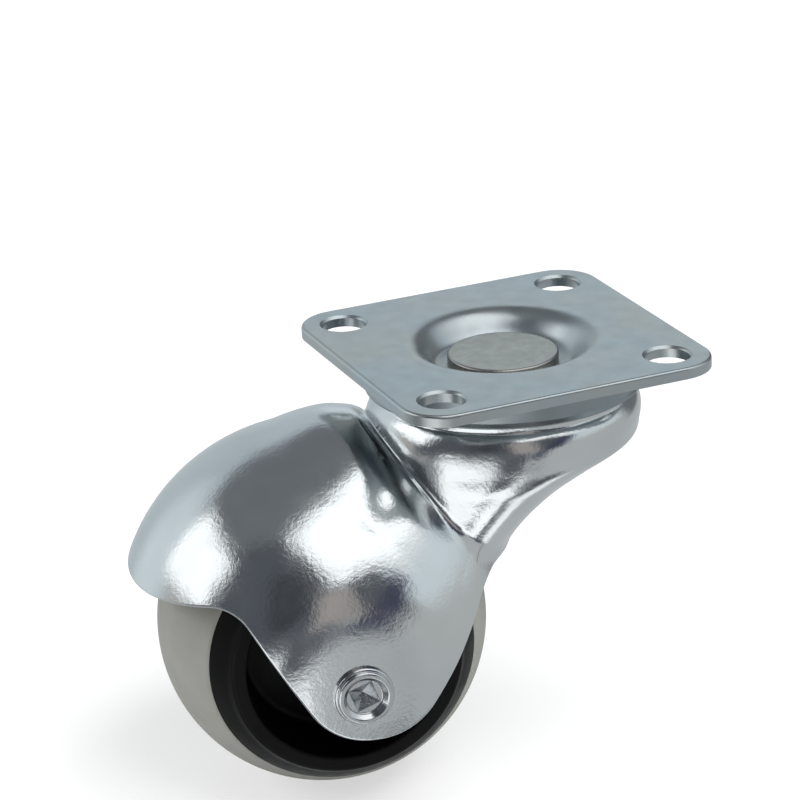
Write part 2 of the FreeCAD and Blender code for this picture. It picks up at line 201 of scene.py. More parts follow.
def grid_quads(rows, columns, wrap_columns, wrap_rows=False):
    """Vertex numbers of the quads of a grid stored row by row."""
    r = np.arange(rows if wrap_rows else rows - 1)[:, None]
    c = np.arange(columns if wrap_columns else columns - 1)[None, :]
    right = (c + 1) % columns
    below = (r + 1) % rows
    quads = np.stack([
        r * columns + c, r * columns + right, below * columns + right, below * columns + c], -1)
    return quads.reshape(-1, 4)


def link_object(name, data):
    """A new object of a mesh, lamp or camera in the scene."""
    thing = bpy.data.objects.new(name, data)
    bpy.context.scene.collection.objects.link(thing)
    return thing


def mesh_piece(name, points, quads, sharp_degrees=40.0):
    """An object from points in millimetres and quads. Doubles are merged, faces turned outwards
    and edges sharper than the angle kept sharp."""
    mesh = bpy.data.meshes.new(name)
    mesh.from_pydata((np.asarray(points) * MM).tolist(), [], np.asarray(quads).tolist())
    shape = bmesh.new()
    shape.from_mesh(mesh)
    bmesh.ops.remove_doubles(shape, verts=shape.verts, dist=MERGE_DISTANCE)
    bmesh.ops.dissolve_degenerate(shape, edges=shape.edges, dist=TINY_EDGE)
    bmesh.ops.recalc_face_normals(shape, faces=shape.faces)
    limit = math.radians(sharp_degrees)
    for edge in shape.edges:
        edge.smooth = edge.is_manifold and edge.calc_face_angle(0) < limit
    shape.to_mesh(mesh)
    shape.free()
    mesh.polygons.foreach_set("use_smooth", np.ones(len(mesh.polygons), bool))
    return link_object(name, mesh)


def lathe(profile, columns=192, axle=False):
    """Points and quads of a closed (radius, height) profile turned about Z, or about the axle:
    each profile point becomes a ring of radius times cosine and sine of the angle."""
    angle = np.linspace(0, 2 * math.pi, columns, endpoint=False)
    radius = profile[:, :1]
    height = np.repeat(profile[:, 1:2], columns, 1)
    across, along = radius * np.cos(angle), radius * np.sin(angle)
    order = [across, height, along] if axle else [across, along, height]
    points = np.stack(order, -1).reshape(-1, 3)
    return points, grid_quads(len(profile), columns, True, wrap_rows=True)


def turn_to_rest(points):
    """Hood frame to rest: a turn about the swivel axis."""
    cosine, sine = math.cos(REST_TURN), math.sin(REST_TURN)
    x, y, z = np.asarray(points).T
    return np.stack([cosine * x - sine * y, sine * x + cosine * y, z], 1)


def on_axle(points):
    """From the ball's centre to its place in the resting hood, in millimetres."""
    hood = bpy.context.scene.castor_hood
    return turn_to_rest(np.asarray(points) + [hood.trail / MM, 0, -hood.axle_drop / MM])


def join_parts(parts):
    """One list of points and quads from several (points, quads) pairs."""
    points, quads, offset = [], [], 0
    for p, q in parts:
        points.append(p)
        quads.append(q + offset)
        offset += len(p)
    return np.vstack(points), np.vstack(quads)


def add_node(tree, kind, inputs=(), **settings):
    """Adds a shader node, sets its settings, and sets or links each named or numbered input."""
    node = tree.nodes.new("ShaderNode" + kind)
    for key, value in settings.items():
        setattr(node, key, value)
    for key, value in dict(inputs).items():
        socket = node.inputs[key]
        if isinstance(value, bpy.types.NodeSocket):
            tree.links.new(value, socket)
        else:
            socket.default_value = value
    return node


def blank_material(name):
    """A material with an empty node tree, its output node and object coordinates."""
    material = bpy.data.materials.new(name)
    material.use_nodes = True
    tree = material.node_tree
    tree.nodes.clear()
    output = add_node(tree, "OutputMaterial")
    place = add_node(tree, "TexCoord").outputs["Object"]
    return material, tree, output, place


def noise(tree, place, feature_mm, detail=2.0, roughness=0.5, distortion=0.0):
    """Height of a noise pattern whose blobs are about feature_mm across."""
    return add_node(tree, "TexNoise", {
        "Vector": place, "Scale": 1 / (feature_mm * MM), "Detail": detail, "Roughness": roughness,
        "Distortion": distortion}).outputs["Fac"]


def spread(tree, value, low, high):
    """Maps a pattern's middle range to low .. high."""
    return add_node(tree, "MapRange", {
        "Value": value, "From Min": 0.3, "From Max": 0.7, "To Min": low, "To Max": high}).outputs[0]


def mixed(tree, share, first, second):
    """Colour between first and second by share."""
    return add_node(
        tree, "Mix", {0: share, 6: first, 7: second}, data_type="RGBA").outputs[2]


def finish_surface(tree, output, base, roughness, bumps, metallic=1.0, specular=0.5):
    """Joins colour, roughness and a chain of (height, distance, strength) bumps in a shader."""
    normal = {}
    for height, distance_mm, strength in bumps:
        bump = add_node(tree, "Bump", {
            "Height": height, "Distance": distance_mm * MM, "Strength": strength, **normal})
        normal = {"Normal": bump.outputs[0]}
    shader = add_node(tree, "BsdfPrincipled", {
        "Base Color": base, "Roughness": roughness, "Metallic": metallic,
        "Specular IOR Level": specular, **normal})
    tree.links.new(shader.outputs[0], output.inputs["Surface"])


def shade(rgb, factor):
    """A colour times a factor, with full alpha."""
    return [min(1.0, c * factor) for c in rgb] + [1.0]


def clouded(tree, place, rgb, feature_mm, detail, dark, light):
    """A colour that drifts between two of its shades in soft clouds."""
    clouds = spread(tree, noise(tree, place, feature_mm, detail), 0, 1)
    return mixed(tree, clouds, shade(rgb, dark), shade(rgb, light))


def bright_zinc(name, rgb):
    """Blue-white zinc plate on deep-drawn steel: brightener in the bath makes it mirror-like,
    and the drawn sheet's grain under it shows as a fine orange peel that frays each reflection."""
    material, tree, output, place = blank_material(name)
    base = clouded(tree, place, rgb, 9.0, 2.0, 0.94, 1.03)
    grain = noise(tree, place, 0.45, 3.0, 0.6)
    roughness = spread(tree, noise(tree, place, 3.0, 3.0), 0.10, 0.20)
    peel = noise(tree, place, 1.6, 2.0)
    finish_surface(tree, output, base, roughness, [(peel, 0.035, 0.5), (grain, 0.028, 0.7)])
    return material


def satin_zinc(name, rgb):
    """Blue-white zinc plate on flat rolled sheet: the rolled surface keeps it satin, and the thin
    chromate film gives faint blue and straw clouds."""
    material, tree, output, place = blank_material(name)
    clouds = noise(tree, place, 11.0, 3.0, 0.5, 0.6)
    cool = [rgb[0] * 0.93, rgb[1] * 0.99, rgb[2] * 1.04, 1]
    warm = [rgb[0] * 1.03, rgb[1] * 1.0, rgb[2] * 0.95, 1]
    base = mixed(tree, spread(tree, clouds, 0, 1), cool, warm)
    grain = noise(tree, place, 0.5, 3.0, 0.6)
    roughness = spread(tree, noise(tree, place, 2.4, 3.0), 0.27, 0.36)
    finish_surface(tree, output, base, roughness, [(grain, 0.02, 0.35)])
    return material


def dull_zinc(name, rgb):
    """Zinc plate on upset rivet ends, rubbed in the riveting tool: greyer, warmer and softer."""
    material, tree, output, place = blank_material(name)
    base = clouded(tree, place, rgb, 2.2, 3.0, 0.9, 1.05)
    grain = noise(tree, place, 0.35, 3.0, 0.6)
    roughness = spread(tree, noise(tree, place, 1.2, 2.0), 0.24, 0.36)
    finish_surface(tree, output, base, roughness, [(grain, 0.02, 0.35)])
    return material


def bearing_steel(name, rgb):
    """Hardened bearing steel, ground and polished, with a thin film of grease."""
    material, tree, output, place = blank_material(name)
    base = clouded(tree, place, rgb, 2.0, 2.0, 0.85, 1.0)
    grain = noise(tree, place, 0.3)
    finish_surface(tree, output, base, spread(tree, grain, 0.12, 0.2), [(grain, 0.01, 0.2)])
    return material


def black_polyamide(name, rgb):
    """Injection-moulded black polyamide: a fine spark-eroded mould texture leaves it satin."""
    material, tree, output, place = blank_material(name)
    base = clouded(tree, place, rgb, 5.0, 2.0, 0.8, 1.25)
    grain = noise(tree, place, 0.3, 3.0, 0.6)
    roughness = spread(tree, noise(tree, place, 3.0, 2.0), 0.34, 0.46)
    finish_surface(tree, output, base, roughness, [(grain, 0.02, 0.4)], 0.0, 0.12)
    return material


def grey_elastomer(name, rgb):
    """Thermoplastic rubber moulded over the core: matte, faintly clouded, with a fine skin."""
    material, tree, output, place = blank_material(name)
    base = clouded(tree, place, rgb, 6.0, 3.0, 0.94, 1.05)
    grain = noise(tree, place, 0.35, 4.0, 0.65)
    roughness = spread(tree, noise(tree, place, 2.0, 2.0), 0.62, 0.76)
    finish_surface(tree, output, base, roughness, [(grain, 0.03, 0.5)], 0.0, 0.4)
    return material


def dress(piece, material, body, slot, *nodes):
    """Gives a piece its material and body, and hides the solids it stands for. The slot is not
    used.
    """
    piece.data.materials.clear()
    piece.data.materials.append(material)
    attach(piece, body)
    if nodes:
        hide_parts(*nodes)


def plate_boundary(half, corner, dish):
    """The closed outline of one quadrant of the plate, anticlockwise, in six parts: corner arc,
    far edge, axis, dish arc, axis, near edge."""
    centre = half - corner
    corner_steps, edge_steps, gap_steps = 25, 21, 9
    quarter = np.linspace(0, math.pi / 2, corner_steps)[:-1]
    edge = np.linspace(0, 1, edge_steps)[:-1, None]
    gap = np.linspace(0, 1, gap_steps)[:-1, None]
    sweep = np.linspace(math.pi / 2, 0, QUARTER_STEPS)[:-1, None]
    return [
        centre + corner * np.stack([np.cos(quarter), np.sin(quarter)], 1),
        [centre, half] + edge * [-centre, 0],
        [0, half] + gap * [0, dish - half],
        dish * np.hstack([np.cos(sweep), np.sin(sweep)]),
        [dish, 0] + gap * [half - dish, 0],
        [half, 0] + edge * [0, centre],
    ]


def plate_parts(sizes):
    """The plate as grids of one quadrant: both faces from hole to outline, the rolled outer
    edge, the hole's wall and the S-shaped dish. The other quadrants are its mirror images."""
    half, corner = sizes.side / MM / 2, sizes.corner / MM
    thick, roll = sizes.thickness / MM, sizes.edge_round / MM
    hole, bevel = sizes.hole_radius / MM, sizes.hole_bevel / MM
    centre = np.array([sizes.hole_pitch / MM / 2] * 2)
    dish, floor = sizes.dish_radius / MM, sizes.dish_floor / MM
    depth, inset = sizes.dish_depth / MM, sizes.dish_inset / MM
    bore = sizes.pin_shank / MM + FIT_GAP
    quarter_turn = np.linspace(math.pi / 2, 0, QUARTER_STEPS)

    def from_hole(outline):
        """Unit directions from the hole's middle to an outline."""
        towards = outline - centre
        return towards / np.linalg.norm(towards, axis=1)[:, None]

    def face(inset_here, dish_here, hole_here, height):
        """Rows from the hole's rim to the quadrant's outline at one height. A close row at
        either end keeps the face flat under smooth shading."""
        outline = np.vstack(plate_boundary(half - inset_here, corner - inset_here, dish_here))
        towards = from_hole(outline)
        close = 0.15
        rim = centre + towards * hole_here
        near = centre + towards * (hole_here + close)
        inner = outline - towards * close
        rows = np.stack([rim, near, inner, outline])
        points = np.dstack([rows, np.full(rows.shape[:2], height)])
        return points.reshape(-1, 3), grid_quads(len(rows), len(outline), True)

    def hole_wall():
        """Bevel and wall of the hole: rings of the outline's directions at growing depth."""
        upper = from_hole(np.vstack(plate_boundary(half - roll, corner - roll, dish)))
        lower = from_hole(np.vstack(plate_boundary(half, corner, dish - inset)))
        half_way_in, half_way_down, close = bevel * 0.5, -bevel * 0.42, 0.1
        rings = []
        for radius, height, towards in (
                (hole + bevel, 0, upper), (hole + half_way_in, half_way_down, upper),
                (hole, -bevel, upper), (hole, -bevel - close, upper), (hole, -thick, lower)):
            ring = centre + towards * radius
            rings.append(np.hstack([ring, np.full((len(ring), 1), height)]))
        return np.vstack(rings), grid_quads(len(rings), len(upper), True)

    def outer_edge():
        """Rolled top edge and sheared side: the outline moved in by the roll's sine and down by
        its cosine."""
        rows = []
        bend_steps, close = 7, 0.06
        bend = np.linspace(0, math.pi / 2, bend_steps)
        steps = [(roll * (1 - math.sin(a)), -roll * (1 - math.cos(a))) for a in bend]
        steps += [(0, -roll - close), (0, -thick)]
        for step_in, height in steps:
            parts = plate_boundary(half - step_in, corner - step_in, dish)
            line = np.vstack([parts[5], parts[0], parts[1], parts[2][:1]])
            rows.append(np.hstack([line, np.full((len(line), 1), height)]))
        return np.vstack(rows), grid_quads(len(rows), len(rows[0]), False)

    def dish_wall(edge_radius, floor_radius, top, bottom):
        """The dish: a cubic curve level at both ends, turned through a quarter, and its flat
        floor. The poles' shares of the run set how softly each end bends."""
        wall_steps, upper_share, lower_share = 25, 0.6, 0.3
        t = np.linspace(0, 1, wall_steps)[:, None]
        run = edge_radius - floor_radius
        poles = np.array([
            [edge_radius, top], [edge_radius - upper_share * run, top],
            [floor_radius + lower_share * run, bottom], [floor_radius, bottom]])
        curve = ((1 - t) ** 3 * poles[0] + 3 * (1 - t) ** 2 * t * poles[1]
                 + 3 * (1 - t) * t ** 2 * poles[2] + t ** 3 * poles[3])
        curve = np.vstack([curve, [[bore, bottom]]])
        points = np.stack([
            curve[:, :1] * np.cos(quarter_turn), curve[:, :1] * np.sin(quarter_turn),
            np.repeat(curve[:, 1:], QUARTER_STEPS, 1)], -1)
        return points.reshape(-1, 3), grid_quads(len(curve), QUARTER_STEPS, False)

    def bore_wall():
        """Wall of the kingpin's hole."""
        ring = np.stack([bore * np.cos(quarter_turn), bore * np.sin(quarter_turn)], 1)
        upper = np.hstack([ring, np.full((QUARTER_STEPS, 1), -depth)])
        lower = np.hstack([ring, np.full((QUARTER_STEPS, 1), -depth - thick)])
        return np.vstack([upper, lower]), grid_quads(2, QUARTER_STEPS, False)

    points, quads = join_parts([
        face(roll, dish, hole + bevel, 0),
        face(0, dish - inset, hole, -thick),
        hole_wall(), outer_edge(),
        dish_wall(dish, floor, 0, -depth),
        dish_wall(dish - inset, floor - inset, -thick, -depth - thick),
        bore_wall(),
    ])
    return join_parts([(points * [x, y, 1], quads) for x in (1, -1) for y in (1, -1)])


class CASTOR_OT_plate(bpy.types.Operator):
    """Build the square top plate with its holes and pressed dish"""
    bl_idname = "castor.plate"
    bl_label = "Top plate"

    def execute(self, context):
        sizes = context.scene.castor_plate
        plate = mesh_piece("plate_sheet", *plate_parts(sizes))
        material = satin_zinc("rolled_zinc_plate", context.scene.castor_finish.plate)
        dress(plate, material, "plate", "plate_steel", "mounting_plate")
        return {"FINISHED"}


class CASTOR_OT_kingpin(bpy.types.Operator):
    """Build the flat-headed kingpin and the pressed dust skirt"""
    bl_idname = "castor.kingpin"
    bl_label = "Kingpin and skirt"

    def execute(self, context):
        sizes = context.scene.castor_plate
        finish = context.scene.castor_finish
        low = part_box("kingpin")[0]
        head, shank = sizes.pin_head / MM, sizes.pin_shank / MM
        floor = -sizes.dish_depth / MM
        head_top = floor + sizes.pin_head_height / MM
        head_bevel, tail, tail_round = 0.3, 4.7, 1.0
        tail_top, tail_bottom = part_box("lower_race")[0].z / MM, low.z / MM
        pin = rounded_path([
            (0, head_top, 0), (head, head_top, head_bevel), (head, floor, 0), (shank, floor, 0),
            (shank, tail_top, 0), (tail, tail_top, 0), (tail, tail_bottom, tail_round),
            (0, tail_bottom, 0)])
        piece = mesh_piece("kingpin_rivet", *lathe(pin))
        dress(piece, dull_zinc("upset_zinc_kingpin", finish.pin), "plate", "pin_steel", "kingpin")
        outer, bottom = sizes.skirt_radius / MM, -sizes.skirt_bottom / MM
        inner, wall, sheet = 12.0, 0.7, 0.6
        lip, lip_height = 0.25, 0.6
        top_round, bend_round, lip_round, inside_round = 0.3, 0.4, 0.15, 0.2
        top = -sizes.thickness / MM
        skirt = rounded_path([
            (inner, top, 0), (outer, top, top_round), (outer, bottom + lip_height, bend_round),
            (outer + lip, bottom, lip_round), (outer - wall, bottom, 0),
            (outer - wall, top - sheet, inside_round), (inner, top - sheet, 0)])
        piece = mesh_piece("dust_skirt", *lathe(skirt, columns=256))
        zinc = satin_zinc("pressed_zinc_skirt", finish.skirt)
        dress(piece, zinc, "plate", "plate_steel", "upper_race")
        return {"FINISHED"}


def smooth_min(a, b, width):
    """The smaller of two distances, less (width - difference)^2 / (4 width) where they blend."""
    overlap = np.maximum(width - np.abs(a - b), 0)
    return np.minimum(a, b) - overlap ** 2 / (4 * width)


def smooth_max(a, b, width):
    """The larger of two distances, blended over width."""
    return -smooth_min(-a, -b, width)


# Horn: depth below the shoulder, centre, and how much longer and wider than the boss.
HORN_LEVELS = np.array([
    (0.0, 0.0, -1.45, -1.45),
    (0.8, 0.0, -0.95, -0.95),
    (1.6, 0.0, -0.5, -0.5),
    (2.4, 0.05, -0.17, -0.17),
    (3.3, 0.22, 0.02, -0.02),
    (4.4, 0.5, 0.1, 0.04),
    (5.6, 0.8, 0.0, 0.06),
    (7.4, 2.7, -2.0, -0.2),
    (9.2, 4.5, -3.75, -0.8),
    (11.8, 6.5, -5.5, -1.6),
    (14.4, 8.0, -6.7, -2.4),
    (17.0, 9.3, -7.2, -3.2),
    (20.0, 10.4, -7.8, -4.0),
])
# Rim seen along the axle, measured from it: place along the trail, height, round.
RIM_CORNERS = [
    (60.0, -0.304, 0), (13.4, 10.45, 3.5), (3.55, -5.95, 7.9), (-5.45, -5.95, 7.9),
    (-16.4, 9.3, 5.0), (-60.0, 9.3, 0)]


def smooth_table(depth, table):
    """Values of each column at a depth: cubic Hermite curves with central-difference slopes."""
    knots, values = table[:, 0], table[:, 1:]
    slopes = np.gradient(values, knots, axis=0)
    d = np.clip(depth, knots[0], knots[-1])
    i = np.clip(np.searchsorted(knots, d) - 1, 0, len(knots) - 2)
    span = (knots[i + 1] - knots[i])[..., None]
    t = ((d - knots[i]) / (knots[i + 1] - knots[i]))[..., None]
    return ((2 * t ** 3 - 3 * t ** 2 + 1) * values[i] + (t ** 3 - 2 * t ** 2 + t) * span * slopes[i]
            + (3 * t ** 2 - 2 * t ** 3) * values[i + 1] + (t ** 3 - t ** 2) * span * slopes[i + 1])


def halved(low, high, inside, rounds=30):
    """Narrows each range low .. high to the place where inside stops being true."""
    for _ in range(rounds):
        middle = (low + high) / 2
        keep = inside(middle)
        low, high = np.where(keep, middle, low), np.where(keep, high, middle)
    return low, high


class HoodForm:
    """The hood's outer and inner skins as distance fields, in millimetres in the hood's frame.
    The mesh's rays fan out from the eye, and their polar angle counts from the pole."""
    eye = np.array([8.0, 0.0, -17.0])
    pole = np.array([-0.5345, 0.0, 0.8452])
    horn_depth, horn_end_round = 19.5, 1.0
    shoulder_round = 1.9
    platform_round, platform_root, platform_sink = 0.3, 0.2, 1
    crest_bearing = 60
    crest_foot, crest_spread = 1.5, 5.3
    crown_slope, crown_round = 0.03, 0.16
    inner_peak, inner_slope, inner_lead, inner_round = 1.1, 0.2, 3.35, 0.12
    foot_round = 0.10
    lip_share, lip_round, lip_foot = 0.25, 0.35, 0.1
    well_wall = 0.52

    def __init__(self, sizes):
        for name in sizes.__annotations__:
            setattr(self, name, getattr(sizes, name) / MM)

    def horn(self, p, inset):
        """Distance to the horn: level ovals whose centre, length and width follow the table."""
        x, y, z = p[..., 0], p[..., 1], p[..., 2]
        centre, longer, wider = np.moveaxis(smooth_table(-z - self.shoulder, HORN_LEVELS), -1, 0)
        long_half = self.boss + longer - inset
        wide_half = self.boss + wider - inset
        oval = np.sqrt(((x - centre) / long_half) ** 2 + (y / wide_half) ** 2)
        horn = (oval - 1) * np.minimum(long_half, wide_half)
        return smooth_max(horn, -z - self.shoulder - self.horn_depth, self.horn_end_round)

    def crest_lift(self, p, from_horn):
        """Rise of the crest: linear ramps of the distance from the swivel axis, smoothly joined,
        times the cosine of the bearing. It drops behind its lip, close to the horn."""
        radius = np.hypot(p[..., 0], p[..., 1])
        bearing = np.degrees(np.arctan2(p[..., 1], p[..., 0]))
        fade = np.cos(np.radians(90 * np.clip(bearing / self.crest_bearing, -1, 1)))
        outside = 1 - (radius - self.crest) / (self.crest_foot + self.crest_spread * fade)
        crown = 1 + self.crown_slope * (self.crest - radius)
        inside = self.inner_peak - self.inner_slope * (self.crest - self.inner_lead - radius)
        roof = smooth_min(smooth_min(outside, crown, self.crown_round), inside, self.inner_round)
        none, full = np.zeros_like(roof), np.ones_like(roof)
        foot = smooth_max(roof, none, self.foot_round)
        behind = smooth_min(from_horn / self.lip, full, self.lip_round)
        behind = smooth_max(behind, none, self.lip_foot)
        left = self.lip_share + (1 - self.lip_share) * behind
        return self.crest_height * fade * foot * left

    def skin(self, p, inset=0.0):
        """Distance to the outer skin, or to the inner one with the sheet as inset: the smooth
        union of the cheeked ball and the horn, with the swivel platform on top."""
        x, y, z = p[..., 0], p[..., 1], p[..., 2]
        horn = self.horn(p, inset)
        along, up = x - self.trail, z + self.axle_drop
        ball = np.sqrt(along ** 2 + y ** 2 + up ** 2) - (self.cover - inset)
        if inset == 0:
            ball = ball - self.crest_lift(p, horn) * np.clip(up / self.cover, 0, 1)
        cover = smooth_max(ball, np.abs(y) - (self.ear - inset), self.cheek_round)
        top = self.shoulder if inset == 0 else self.platform_depth + self.sheet
        boss = smooth_max(horn, z + top, self.shoulder_round)
        body = smooth_min(cover, boss, self.crease_round)
        if inset == 0:
            inside = (self.well - np.hypot(along, up)) / (self.well_wall * self.well)
            well = self.well_depth * np.clip(inside, 0, 1)
            body = np.maximum(body, np.abs(y) - self.ear + well)
            disc = smooth_max(
                np.hypot(x, y) - self.platform, z + self.platform_depth, self.platform_round)
            foot = -z - self.shoulder - self.platform_sink
            body = smooth_min(body, np.maximum(disc, foot), self.platform_root)
        return body

    def reach(self, direction, inset=0.0):
        """Where rays from the hood's inner eye meet a skin."""
        shortest, longest = np.full(direction.shape[:-1], 4.0), np.full(direction.shape[:-1], 48.0)

        def inside(run):
            return self.skin(self.eye + direction * run[..., None], inset) < 0

        run = halved(shortest, longest, inside)[1]
        return self.eye + direction * run[..., None]

    def normal(self, p, inset=0.0):
        """Unit gradient of the distance, from central differences."""
        step = 2e-3
        gradient = np.stack([
            self.skin(p + s, inset) - self.skin(p - s, inset) for s in np.eye(3) * step], -1)
        return gradient / np.linalg.norm(gradient, axis=-1, keepdims=True)

    def direction(self, polar, bearing):
        """Unit ray at a polar angle from the pole and a bearing round it."""
        across = np.array([self.pole[2], 0, -self.pole[0]])
        aside = np.array([0, 1.0, 0])
        ring = np.cos(bearing)[..., None] * across + np.sin(bearing)[..., None] * aside
        return np.cos(polar)[..., None] * self.pole + np.sin(polar)[..., None] * ring

    def rim_polar(self, bearing):
        """Polar angle at which the outer skin crosses the rim line seen along the axle."""
        line = rounded_path(RIM_CORNERS, steps=24, closed=False)[::-1]
        least = np.full(bearing.shape, math.radians(70))
        most = np.full(bearing.shape, math.radians(150))

        def above(polar):
            hit = self.reach(self.direction(polar, bearing))
            edge = np.interp(hit[..., 0] - self.trail, line[:, 0], line[:, 1])
            return hit[..., 2] + self.axle_drop > edge

        return halved(least, most, above, rounds=26)[0]

    def hole_polar(self, bearing):
        """Polar angle at which the ray through the platform's plane is at the pin hole's wall."""
        rise = -self.platform_depth - self.eye[2]

        def inside(polar):
            ray = self.direction(polar, bearing)
            spot = self.eye + ray * (rise / ray[..., 2])[..., None]
            return np.hypot(spot[..., 0], spot[..., 1]) < self.pin_hole

        return halved(np.zeros(bearing.shape), np.full(bearing.shape, math.radians(30)), inside)[0]


def even_columns(form, columns):
    """Bearings of the mesh columns, evenly spaced along the rim and a little along the bearing."""
    probes, even_share = 1441, 0.10
    bearing = np.linspace(0, 2 * math.pi, probes)
    rim = form.reach(form.direction(form.rim_polar(bearing), bearing))
    step = np.linalg.norm(np.diff(rim, axis=0), axis=1) + even_share
    run = np.concatenate([[0], np.cumsum(step)])
    return np.interp(np.arange(columns) * run[-1] / columns, run, bearing)


def blur(values, axis, reach, wrap):
    """A running mean repeated three times, which rounds off corners in a row spacing."""
    for _ in range(3):
        pad = [(0, 0)] * values.ndim
        pad[axis] = (reach, reach)
        padded = np.pad(values, pad, mode="wrap" if wrap else "edge")
        total = np.cumsum(np.insert(padded, 0, 0, axis=axis), axis=axis)
        width = 2 * reach + 1
        values = (np.take(total, np.arange(width, total.shape[axis]), axis)
                  - np.take(total, np.arange(total.shape[axis] - width), axis)) / width
    return values


def hood_parts(form, columns=360, rows=168, inner_rows=56):
    """Points, quads and normals of the hood. Rays fan out from a point inside it. Rows on the
    outer skin lie closer where the normal turns faster; the rim is a superellipse
    (|cos|^power, |sin|^power) swept round; the inner skin follows its own rays to the hole."""
    probes, turn_weight, most_turn = 420, 2.2, 0.5
    rim_rows, power = 12, 0.55
    bearing = even_columns(form, columns)
    first, last = form.hole_polar(bearing), form.rim_polar(bearing)
    rim = form.reach(form.direction(last, bearing))
    last = last - form.edge_roll / np.linalg.norm(rim - form.eye, axis=1)
    probe = np.linspace(0, 1, probes)[:, None]
    polar = first + (last - first) * probe
    rays = form.direction(polar, np.broadcast_to(bearing, polar.shape))
    hits = form.reach(rays)
    facing = form.normal(hits)
    step = np.linalg.norm(np.diff(hits, axis=0), axis=-1)
    turn = np.linalg.norm(np.diff(facing, axis=0), axis=-1)
    cost = step + turn_weight * np.minimum(turn, most_turn)
    cost = blur(blur(cost, axis=0, reach=2, wrap=False), axis=1, reach=4, wrap=True)
    run = np.vstack([np.zeros(columns), np.cumsum(cost, axis=0)])
    share = np.linspace(0, 1, rows)
    chosen = np.stack([
        np.interp(share * run[-1, c], run[:, c], polar[:, c]) for c in range(columns)], 1)
    outer = form.reach(form.direction(chosen, np.broadcast_to(bearing, chosen.shape)))
    outer_facing = form.normal(outer)
    rim, rim_facing = outer[-1], outer_facing[-1]
    along = np.roll(rim, -1, 0) - np.roll(rim, 1, 0)
    outward = np.cross(along, rim_facing)
    outward /= np.linalg.norm(outward, axis=1)[:, None]
    outward *= np.sign(np.sum(outward * (outer[-1] - outer[-2]), 1))[:, None]
    angle = np.linspace(0, math.pi, rim_rows)[:, None, None]
    across = (1 - np.sign(np.cos(angle)) * np.abs(np.cos(angle)) ** power) * form.sheet / 2
    bulge = form.edge_roll * np.abs(np.sin(angle)) ** power
    edge = rim - rim_facing * across + outward * bulge
    edge_facing = rim_facing * np.cos(angle) + outward * np.sin(angle)
    inner_rim = edge[-1]
    to_rim = inner_rim - form.eye
    to_rim /= np.linalg.norm(to_rim, axis=1)[:, None]
    to_hole = form.direction(first, bearing)
    span = np.arccos(np.clip(np.sum(to_rim * to_hole, 1), -1, 1))[:, None]
    part = np.linspace(0, 1, inner_rows)[1:, None, None]
    inner_rays = (np.sin((1 - part) * span) * to_rim + np.sin(part * span) * to_hole) / np.sin(span)
    inner = form.reach(inner_rays, form.sheet)
    inner_facing = -form.normal(inner, form.sheet)
    points = np.vstack([outer, edge[1:], inner])
    facing = np.vstack([outer_facing, edge_facing[1:], inner_facing])
    facing[0] = [0, 0, 1]
    total = len(points)
    points = points.reshape(-1, 3)
    facing = facing.reshape(-1, 3)
    facing /= np.linalg.norm(facing, axis=1)[:, None]
    return points, grid_quads(total, columns, True, wrap_rows=True), facing


class CASTOR_OT_hood(bpy.types.Operator):
    """Build the drawn hood: platform, horn, crest, cover, visor and two ears in one sheet"""
    bl_idname = "castor.hood"
    bl_label = "Hood"

    def execute(self, context):
        form = HoodForm(context.scene.castor_hood)
        points, quads, facing = hood_parts(form)
        mesh = bpy.data.meshes.new("drawn_hood")
        mesh.from_pydata((turn_to_rest(points) * MM).tolist(), [], quads[:, ::-1].tolist())
        mesh.polygons.foreach_set("use_smooth", np.ones(len(mesh.polygons), bool))
        mesh.normals_split_custom_set_from_vertices(turn_to_rest(facing).tolist())
        hood = link_object("drawn_hood", mesh)
        zinc = bright_zinc("drawn_zinc_hood", context.scene.castor_finish.hood)
        dress(hood, zinc, "hood", "hood_steel", "hood")
        return {"FINISHED"}


def turned_piece(name, profile, columns):
    """An object turned about the axle, in its resting place."""
    points, quads = lathe(profile, columns, axle=True)
    return mesh_piece(name, on_axle(points), quads)


